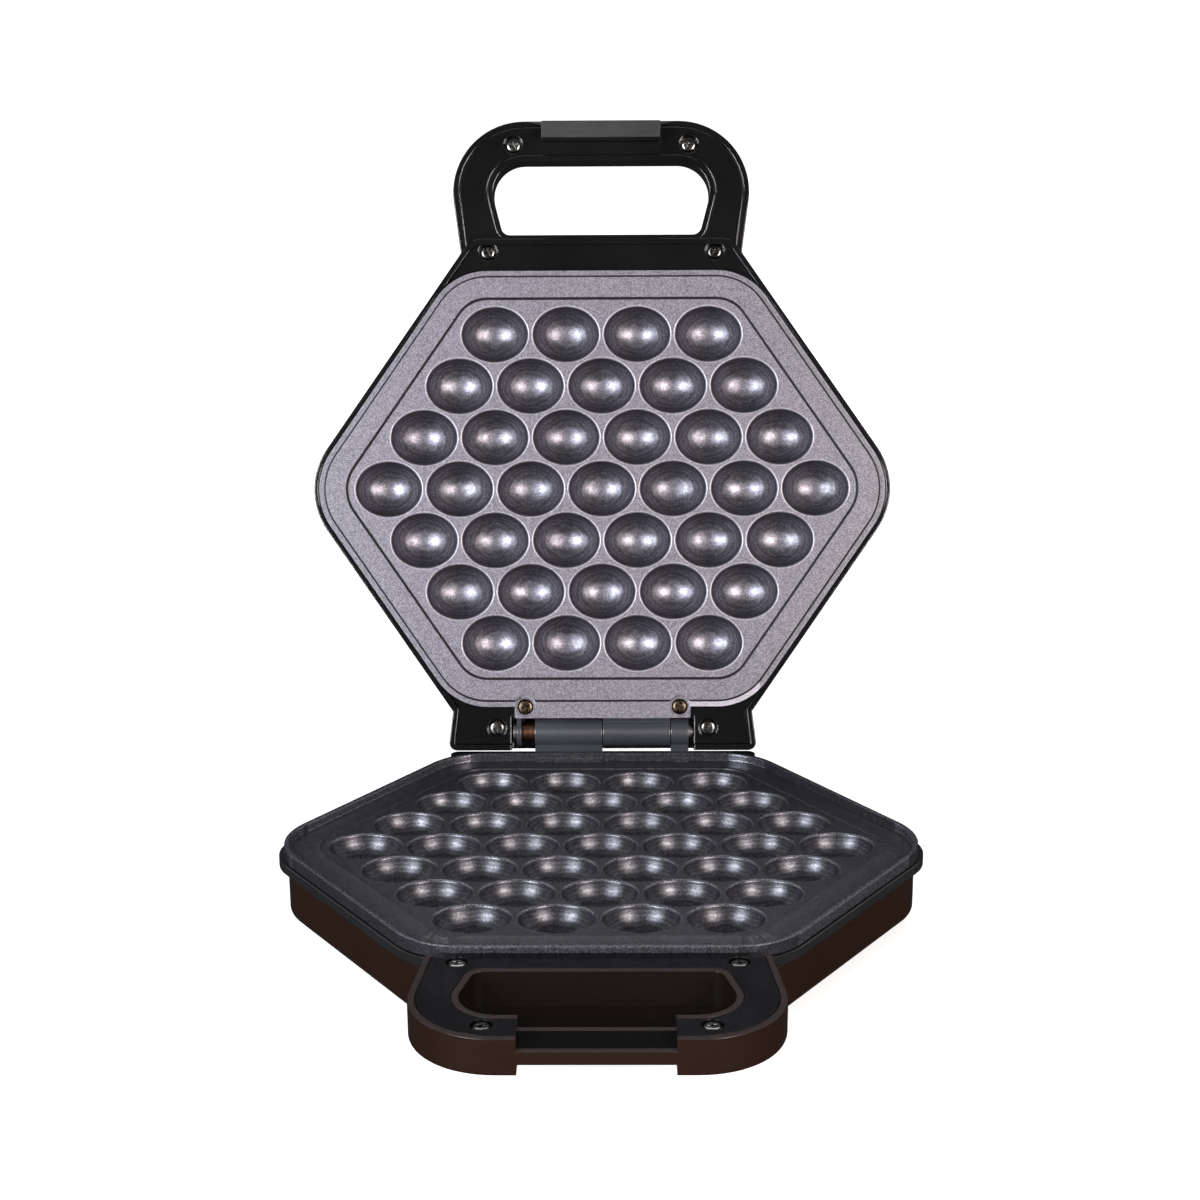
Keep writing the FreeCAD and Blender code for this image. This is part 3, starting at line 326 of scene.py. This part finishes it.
GLOSS = plastic("gloss_black", grey(0.002), grey(0.004, COOL), 0.12, specular=0.8, edge=0.8)
COVER_BLACK = plastic("base_cover_black", grey(0.002), grey(0.004, COOL), 0.12, specular=0.13)
BEZEL = plastic("bezel_black", grey(0.006), grey(0.01, COOL), 0.22, specular=1.0)
LID_BLACK = plastic("lid_black", grey(0.0026), grey(0.0044), 0.34, specular=0.3, wear=0.06, edge=0.8)
LID_MATTE = plastic("lid_matte", grey(0.005), grey(0.0075), 0.62,
                    grain=0.00003, specular=0.04, wear=0.06, edge=0.8)
TONGUE = plastic("tongue_grey", grey(0.003), grey(0.010), 0.38, grain=0.00006, specular=0.6)
BASE_SATIN = plastic("base_satin", (0.0095, 0.0036, 0.0017), (0.0106, 0.0041, 0.0021), 0.3,
                     specular=0.4, wear=0.03)
# Darker brown: painted shade on the upright walls of the finger hole
HOLE_PAINTED_SHADE = plastic("slot_painted_shade", (0.0036, 0.0021, 0.0015), (0.0046, 0.0027, 0.0019), 0.3,
                     specular=0.3, wear=0.03)
# Darker, duller black: painted shade in the recess at the base handle's front
RECESS_PAINTED_SHADE = plastic("recess_painted_shade", grey(0.0016), grey(0.003), 0.2, specular=0.03)
BARREL = plastic("barrel_coat", (0.014, 0.015, 0.02), (0.026, 0.028, 0.036), 0.3,
                 grain=0.00001, specular=1.0)
CREAM = plastic("terminal_cream", (0.5, 0.47, 0.4), (0.6, 0.57, 0.5), 0.4)
FLAT_COAT = nonstick("plate_flat", (0.055, 0.052, 0.063), (0.118, 0.112, 0.13),
                     (0.225, 0.213, 0.245), 0.46, 0.6)
# Lighter coat: a painted highlight on the cups' lips and on the upper plate's ring
LIP_HIGHLIGHT_COAT = nonstick("cup_lip_painted_highlight", (0.18, 0.172, 0.2), (0.28, 0.27, 0.3), (0.4, 0.385, 0.43), 0.42, 0.7)
# Darker coat: painted shade on the steep faces of the upper plate's groove
GROOVE_SHADE_COAT = nonstick("plate_groove_painted_shade", (0.006, 0.006, 0.008), (0.014, 0.0135, 0.017),
                  (0.035, 0.034, 0.041), 0.5, 0.5)
CUP_COAT = turned("plate_cup", (0.088, 0.085, 0.1), (0.135, 0.13, 0.152),
                  (0.235, 0.229, 0.263), 0.42, 0.97, LID_CUP_AXIS)
LOWER_COAT = nonstick("lower_plate_coat", (0.02, 0.02, 0.024), (0.04, 0.04, 0.047),
                      (0.10, 0.10, 0.12), 0.36, 0.8)
# Lighter coat: a painted highlight on the lower plate's lip and on its cups' lips
LOWER_LIP_HIGHLIGHT = nonstick("lower_lip_painted_highlight", (0.05, 0.05, 0.06), (0.11, 0.11, 0.128),
                     (0.21, 0.21, 0.24), 0.28, 0.85, edge=1.2)
LOWER_CUP = turned("lower_plate_cup", (0.03, 0.03, 0.034), (0.05, 0.05, 0.057),
                   (0.09, 0.09, 0.10), 0.36, 0.85, BASE_CUP_AXIS)
STEEL = metal("drawn_steel", grey(0.35), grey(0.55), 0.3, (1.0, 12.0, 12.0))
SCREW = metal("screw_nickel", grey(0.05), grey(0.2, WARM), 0.2)
BRONZE = metal("lug_screw_bronze", (0.03, 0.022, 0.017), (0.10, 0.072, 0.05), 0.3)
COPPER = metal("bush_copper", (0.11, 0.045, 0.027), (0.32, 0.15, 0.09), 0.3, (12.0, 1.0, 1.0))
SHEET = metal("rolled_sheet", grey(0.5), grey(0.68), 0.28, (1.0, 20.0, 1.0))
RUBBER = rubber("foot_rubber", grey(0.008), grey(0.03))
RED = lens("red_lens_clear", (0.35, 0.01, 0.01))
GREEN = lens("green_lens_clear", (0.02, 0.3, 0.04))
SLEEVE = woven("glass_sleeve", (0.5, 0.47, 0.4), (0.75, 0.72, 0.65))


# Meshes

def new_piece(name, bm, body, materials, slot, *replaced):
    """A smooth-shaded mesh drawn in the plate frame, put in place on its body."""
    bm.transform(TO_ROW[body])
    bmesh.ops.recalc_face_normals(bm, faces=bm.faces)
    mesh = bpy.data.meshes.new(name)
    bm.to_mesh(mesh)
    bm.free()
    for material in materials:
        mesh.materials.append(material)
    for polygon in mesh.polygons:
        polygon.use_smooth = True
    piece = bpy.data.objects.new(name, mesh)
    bpy.context.scene.collection.objects.link(piece)
    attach(piece, body)
    if replaced:
        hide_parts(*replaced)
    return piece


def round_edges(piece, width):
    """A narrow bevel on the piece's edges that keeps the shading of the faces beside it."""
    bevel = piece.modifiers.new("round_edges", "BEVEL")
    bevel.width = width * MM
    bevel.segments = 2
    bevel.harden_normals = True
    return bevel


def loop_edges(first, count):
    """The edges of a closed loop, as pairs of point numbers."""
    return [(first + i, first + (i + 1) % count) for i in range(count)]


def join_rings(bm, one, two):
    """The band of faces between two rings of as many points."""
    return [bm.faces.new((one[i], one[j], two[j], two[i])) for i, j in loop_edges(0, len(one))]


def fill_between(bm, verts, points, edges, in_hole):
    """Flat faces over the area that the edges bound, apart from its holes."""
    spots, _, triangles, sources = delaunay_2d_cdt(points, edges, [], 0, 1e-5)[:4]
    for triangle in triangles:
        middle = sum((spots[i] for i in triangle), Vector((0.0, 0.0))) / 3
        if in_hole(middle.x, middle.y):
            continue
        corners = [verts[sources[i][0]] for i in triangle]
        if len(set(corners)) == 3:
            bm.faces.new(corners)


def cup_places():
    """The middles of the cups, row by row from the front."""
    for row, count in enumerate(ROW_COUNTS):
        for column in range(count):
            yield (column - (count - 1) / 2) * CELL_PITCH, (row - (len(ROW_COUNTS) - 1) / 2) * ROW_PITCH


def in_a_cup(x, y):
    """Whether a place lies inside the lip of a cup; the lip is drawn a little inside its ellipse."""
    reach_x, reach_y = (semi + CUP_LIP for semi in CUP_SEMI)
    return any(((x - cup_x) / reach_x) ** 2 + ((y - cup_y) / reach_y) ** 2 < 0.995
               for cup_x, cup_y in cup_places())


def cup_rings():
    """Outline scales of a cup from its rolled lip down to the floor, as (extra reach, share, depth)."""
    rings = []
    for step in range(LIP_STEPS + 1):
        turn = math.pi / 2 * step / LIP_STEPS
        rings.append((CUP_LIP * (1 - math.sin(turn)), 1.0, CUP_LIP * (1 - math.cos(turn))))
    start = math.asin(CUP_LIP / CUP_DEPTH)
    for step in range(1, WALL_STEPS):
        turn = start + (math.pi / 2 - start) * step / WALL_STEPS
        rings.append((0.0, math.cos(turn), CUP_DEPTH * math.sin(turn)))
    return rings


def add_cup(bm, x, y, side, field):
    """Make a round cup with a rolled lip, and return the lip's outer ring."""
    turns = [2 * math.pi * i / CUP_SEGMENTS for i in range(CUP_SEGMENTS)]
    levels = [[bm.verts.new((x + (CUP_SEMI[0] * share + reach) * math.cos(turn),
                             y + (CUP_SEMI[1] * share + reach) * math.sin(turn),
                             field + side * down)) for turn in turns]
              for reach, share, down in cup_rings()]
    # The rolled lip's faces take the coat with the painted highlight
    for step, (outer, inner) in enumerate(zip(levels, levels[1:])):
        for face in join_rings(bm, outer, inner):
            face.material_index = ON_LIP_HIGHLIGHT if step < LIP_STEPS - 1 else ON_CUP
    floor = bm.verts.new((x, y, field + side * CUP_DEPTH))
    for i, j in loop_edges(0, CUP_SEGMENTS):
        bm.faces.new((levels[-1][i], levels[-1][j], floor)).material_index = ON_CUP
    return levels[0]


def cut_field(bm, side, field):
    """Take the faceted cups out of a plate, and return the edges round the hole."""
    slack = 0.05
    start = side * field

    def depth(vert):
        return side * vert.co.z

    def in_cups(face):
        middle = face.calc_center_median()
        sideways = FIELD_SIDE_NORMAL[0] * abs(middle.x) + FIELD_SIDE_NORMAL[1] * abs(middle.y)
        return (min(depth(v) for v in face.verts) > start - slack
                and max(depth(v) for v in face.verts) < start + CUP_DEPTH + slack
                and abs(middle.y) < FIELD_HALF_DEPTH
                and sideways < FIELD_SIDE_REACH)

    bmesh.ops.delete(bm, geom=[f for f in bm.faces if in_cups(f)], context="FACES")
    return [e for e in bm.edges
            if len(e.link_faces) == 1 and all(abs(depth(v) - start) < slack for v in e.verts)]


def paint_plate(bm, side):
    """Set the coats outside the cups: hinge barrels, and on the upper plate a painted highlight on the
    ring and painted shade on the groove, or on the lower plate a painted highlight on the lip.
    """
    barrel_start = UPPER_BARREL_START if side > 0 else LOWER_BARREL_START
    bm.normal_update()
    for face in bm.faces:
        middle = face.calc_center_median()
        if middle.y > barrel_start and abs(middle.x) < BARREL_HALF_WIDTH:
            face.material_index = ON_BARREL
        elif face.material_index != ON_FLAT or middle.y >= PLATE_BACK:
            continue
        elif side < 0:
            # The lower plate's lip top and outer walls get a painted highlight
            if middle.z > LOWER_LIP_START:
                face.material_index = ON_LIP_HIGHLIGHT
        elif UPPER_GROOVE_BOTTOM < middle.z < UPPER_RING_TOP:
            # Steep faces here get painted shade; the flat top of the ring gets a painted highlight
            if abs(face.normal.z) < 0.9:
                face.material_index = ON_GROOVE_SHADE
            elif middle.z > UPPER_RING_START:
                face.material_index = ON_LIP_HIGHLIGHT


def smooth_plate(node, name, body, side, field, materials, slot):
    """A plate with round cups in place of the faceted ones, the rest as in the node."""
    bm = bmesh.new()
    bm.from_mesh(frame["nodes"][node].data)
    bm.transform(TO_ROW[body].inverted())
    bmesh.ops.remove_doubles(bm, verts=bm.verts, dist=0.002)
    rim = cut_field(bm, side, field)
    verts = list(dict.fromkeys(v for e in rim for v in e.verts))
    index = {v: i for i, v in enumerate(verts)}
    edges = [tuple(index[v] for v in e.verts) for e in rim]
    for x, y in cup_places():
        edges += loop_edges(len(verts), CUP_SEGMENTS)
        verts += add_cup(bm, x, y, side, field)
    fill_between(bm, verts, [v.co.xy.copy() for v in verts], edges, in_a_cup)
    paint_plate(bm, side)
    piece = new_piece(name, bm, body, materials, slot, node)
    flat = piece.modifiers.new("merge_flats", "DECIMATE")
    flat.decimate_type = "DISSOLVE"
    flat.angle_limit = math.radians(0.5)
    bevel = round_edges(piece, 0.15)
    bevel.limit_method = "ANGLE"
    bevel.angle_limit = math.radians(35.0)
    bevel.miter_outer = "MITER_ARC"
    bevel.use_clamp_overlap = False
    normals = piece.modifiers.new("even_normals", "WEIGHTED_NORMAL")
    normals.keep_sharp = True


def add_screw(bm, x, y, z, up, turn, shank_length):
    """A pan-head screw with a cross recess; z is the underside of the head and up its outward way."""
    profile = ((SHANK_RADIUS, -shank_length), (SHANK_RADIUS, 0.0), *HEAD_PROFILE)
    angles = [2 * math.pi * i / SCREW_SEGMENTS for i in range(SCREW_SEGMENTS)]
    rings = [[bm.verts.new((x + radius * math.cos(angle), y + radius * math.sin(angle), z + up * height))
              for angle in angles] for radius, height in profile]
    bm.faces.new(rings[0])
    for one, two in zip(rings, rings[1:]):
        join_rings(bm, one, two)
    reach, half = CROSS_REACH, CROSS_HALF_WIDTH
    outline = ((reach, -half), (reach, half), (half, half), (half, reach),
               (-half, reach), (-half, half), (-reach, half), (-reach, -half),
               (-half, -half), (-half, -reach), (half, -reach), (half, -half))
    across, along = math.cos(turn), math.sin(turn)
    cross = [(a * across - b * along, a * along + b * across) for a, b in outline]
    top = [bm.verts.new((x + a, y + b, z + up * HEAD_TOP)) for a, b in cross]
    floor = [bm.verts.new((x + a * CROSS_TAPER, y + b * CROSS_TAPER, z + up * CROSS_FLOOR))
             for a, b in cross]
    join_rings(bm, top, floor)
    bm.faces.new(floor)

    def in_cross(right, back):
        a = abs(right * across + back * along)
        b = abs(back * across - right * along)
        return (a < reach and b < half) or (b < reach and a < half)

    verts = rings[-1] + top
    points = [Vector((v.co.x - x, v.co.y - y)) for v in verts]
    edges = loop_edges(0, SCREW_SEGMENTS) + loop_edges(SCREW_SEGMENTS, len(top))
    fill_between(bm, verts, points, edges, in_cross)


def screws(node, places, level, up, body, material, shank_length=7.0):
    """A node's screws, each with its cross turned a little further than the last."""
    bm = bmesh.new()
    for number, (x, y) in enumerate(places):
        add_screw(bm, x, y, level, up, FIRST_TURN + NEXT_TURN * number, shank_length)
    piece = new_piece(node.replace("screws", "cross_screws"), bm, body, (material,), "screw_steel", node)
    round_edges(piece, 0.08)


def both(x, y):
    """A place and its mirror image."""
    return [(x, y), (-x, y)]


# Pieces

HANDLE_PLACES = both(37.1, -145.5) + both(48.0, -100.3)
BOTTOM_PLACES = both(30.0, -96.0) + both(53.0, 100.0)
screws("lid_handle_screws", HANDLE_PLACES, 3.9, -1, "lid", SCREW)
screws("lid_rear_screws", both(44.7, 101.0), 3.9, -1, "lid", SCREW)
screws("lid_lug_screws", both(32.6, 92.1), 1.9, -1, "lid", BRONZE)
screws("base_handle_screws", HANDLE_PLACES, -3.9, 1, "base", SCREW)
screws("plate_ear_screws", both(44.7, 97.6), -5.0, 1, "base", SCREW)
screws("bottom_screws", BOTTOM_PLACES, -26.4, -1, "base", SCREW, shank_length=20.9)

smooth_plate("upper_plate", "upper_plate_cast", "lid", 1, UPPER_FIELD,
             (FLAT_COAT, CUP_COAT, BARREL, LIP_HIGHLIGHT_COAT, GROOVE_SHADE_COAT), "upper_nonstick")
smooth_plate("lower_plate", "lower_plate_cast", "base", -1, LOWER_FIELD,
             (LOWER_COAT, LOWER_CUP, BARREL, LOWER_LIP_HIGHLIGHT), "lower_nonstick")

LOOKS = {
    "base_shell": (BASE_SATIN, HOLE_PAINTED_SHADE),
    "base_frame": (COVER_BLACK, BEZEL, RECESS_PAINTED_SHADE),
    "lid_shell": (LID_BLACK, TONGUE, GLOSS, LID_MATTE),
    "lid_frame": (GLOSS,),
    "lower_heater": (STEEL,),
    "upper_heater": (STEEL,),
    "lower_reflector": (SHEET,),
    "upper_reflector": (SHEET,),
    "thermostat": (STEEL,),
    "lid_thermostat": (STEEL,),
    "thermal_fuse": (SLEEVE,),
    "terminal_block": (CREAM,),
    "inlet_gland": (RUBBER,),
    "rubber_feet": (RUBBER,),
    "hinge_pin": (STEEL,),
    "hinge_bush": (COPPER,),
    "pin_clip": (STEEL,),
    "power_lamp": (RED,),
    "ready_lamp": (GREEN,),
    "lamp_board": (CREAM,),
}
for node, materials in LOOKS.items():
    slots = frame["nodes"][node].data.materials
    slots.clear()
    for material in materials:
        slots.append(material)


def paint_node(node, body, material_at):
    """Choose the material of each face of a CAD node by its middle and normal in the plate frame."""
    to_plate = TO_ROW[body].inverted()
    for polygon in frame["nodes"][node].data.polygons:
        normal = (to_plate.to_3x3() @ polygon.normal).normalized()
        polygon.material_index = material_at(to_plate @ polygon.center, normal)


def lid_shell_material(spot, normal):
    """1 on the tongue, 2 on faces towards the base, 3 on the outside, and 0 on the upright faces."""
    if abs(spot.x) < TONGUE_HALF_WIDTH and spot.y < TONGUE_START and spot.z < TONGUE_TOP:
        return 1
    if normal.z < -LEVEL:
        return 2
    return 3 if normal.z > LEVEL else 0


def base_frame_material(spot, normal):
    """1 on the bezel round the plate, 2 (painted shade) in the recess at the handle's front, and 0
    elsewhere.
    """
    if spot.y > BEZEL_START and spot.z < BEZEL_TOP:
        return 1
    return 2 if abs(spot.x) < RECESS_HALF_WIDTH and spot.y < RECESS_BACK and spot.z < RECESS_TOP else 0


def base_shell_material(spot, normal):
    """1 (painted shade) on the upright walls of the finger hole, and 0 elsewhere."""
    in_hole = abs(spot.x) < FINGER_HOLE_HALF_WIDTH and FINGER_HOLE_FRONT < spot.y < FINGER_HOLE_BACK
    return 1 if in_hole and abs(normal.z) < LEVEL else 0


paint_node("lid_shell", "lid", lid_shell_material)
paint_node("base_frame", "base", base_frame_material)
paint_node("base_shell", "base", base_shell_material)


# Floor, light and camera

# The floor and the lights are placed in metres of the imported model, the camera in the plate frame,
# with its pitch, yaw and roll in degrees
FLOOR_HALF_SIZE = 6.0
LIGHT_TARGET = Vector((0.0, 0.05, 0.15))
CAMERA_PLACE = Vector((8.81, -794.97, 337.80))
CAMERA_ANGLES = (-16.954, 0.614, 0.342)


def make_floor():
    """A pale floor that glows as painted light, more brightly away from the pan."""
    mesh = bpy.data.meshes.new("floor")
    corners = [(x * FLOOR_HALF_SIZE, y * FLOOR_HALF_SIZE, 0.0)
               for x, y in ((-1, -1), (1, -1), (1, 1), (-1, 1))]
    mesh.from_pydata(corners, [], [(0, 1, 2, 3)])
    floor = bpy.data.objects.new("floor", mesh)
    bpy.context.scene.collection.objects.link(floor)
    floor.visible_glossy = False
    nodes = Nodes("pale_floor")
    cloud = nodes.noise(1.5, 2.0)
    distance = nodes.add("ShaderNodeVectorMath", operation="LENGTH")
    nodes.link(nodes.place, distance.inputs[0])
    # The emission is a painted glow, weaker near the pan and at full strength far from it
    mesh.materials.append(nodes.set(
        Base_Color=nodes.ramp(cloud, ((0.2, grey(0.86)), (0.8, grey(0.9)))),
        Roughness=0.9,
        Emission_Color=(1.0, 1.0, 1.0, 1.0),
        Emission_Strength=nodes.spread(distance.outputs["Value"], 0.5, 1.0, 0.3, 1.2),
    ))


def softbox(name, azimuth, elevation, distance, size, power, colour=(1.0, 1.0, 1.0)):
    """An area light that faces the target, at an azimuth to the right of the camera side."""
    light = bpy.data.lights.new(name, "AREA")
    light.color = colour
    light.shape = "RECTANGLE"
    light.size, light.size_y = size
    light.energy = power
    lamp = bpy.data.objects.new(name, light)
    turn, rise = math.radians(azimuth), math.radians(elevation)
    away = Vector((math.sin(turn) * math.cos(rise), -math.cos(turn) * math.cos(rise), math.sin(rise)))
    lamp.location = LIGHT_TARGET + away * distance
    lamp.rotation_euler = away.to_track_quat("Z", "Y").to_euler()
    bpy.context.scene.collection.objects.link(lamp)


def make_world():
    """White behind the pan, a weak cool fill of light, and almost nothing for gloss to mirror."""
    world = bpy.data.worlds.new("studio")
    world.use_nodes = True
    nodes, links = world.node_tree.nodes, world.node_tree.links
    shader = nodes["Background"]
    shader.inputs["Color"].default_value = (0.9, 0.93, 1.0, 1.0)
    shader.inputs["Strength"].default_value = 0.12
    path = nodes.new("ShaderNodeLightPath")
    for kind, colour, strength in (("Is Glossy Ray", (0.95, 0.97, 1.0, 1.0), 0.03),
                                   ("Is Camera Ray", (1.0, 1.0, 1.0, 1.0), 1.0)):
        background = nodes.new("ShaderNodeBackground")
        background.inputs["Color"].default_value = colour
        background.inputs["Strength"].default_value = strength
        mix = nodes.new("ShaderNodeMixShader")
        links.new(path.outputs[kind], mix.inputs["Fac"])
        links.new(shader.outputs[0], mix.inputs[1])
        links.new(background.outputs["Background"], mix.inputs[2])
        shader = mix
    links.new(shader.outputs[0], nodes["World Output"].inputs["Surface"])
    bpy.context.scene.world = world


def make_camera():
    """The camera, placed to see the pan as the photograph does."""
    camera = bpy.data.cameras.new("camera")
    camera.sensor_width = 36.0
    camera.lens = 67.54
    camera.clip_start = 0.05
    camera.clip_end = 50.0
    eye = bpy.data.objects.new("camera", camera)
    pitch, yaw, roll = (math.radians(angle) for angle in CAMERA_ANGLES)
    facing = (Matrix.Rotation(yaw, 4, "Z") @ Matrix.Rotation(pitch, 4, "X") @ Matrix.Rotation(roll, 4, "Y")
              @ Matrix.Rotation(math.pi / 2, 4, "X"))
    eye.matrix_world = Matrix.Translation(BASE_TO_ROW @ CAMERA_PLACE) @ facing
    bpy.context.scene.collection.objects.link(eye)
    bpy.context.scene.camera = eye


make_floor()
make_world()
make_camera()
softbox("left_box", -36.0, 14.0, 1.6, (0.6, 0.75), 42.0, (0.92, 0.95, 1.0))
softbox("right_box", 33.0, 14.0, 1.6, (0.52, 0.65), 31.0, (1.0, 0.9, 0.85))
softbox("left_strip", -100.0, 18.0, 1.7, (1.1, 1.8), 6.0)
softbox("right_strip", 100.0, 18.0, 1.7, (1.1, 1.8), 6.0)
softbox("top_box", 0.0, 78.0, 1.5, (1.6, 1.0), 0.8)
softbox("rear_box", 180.0, 58.0, 1.7, (1.8, 0.9), 16.0)
bpy.context.scene.view_settings.view_transform = "Standard"
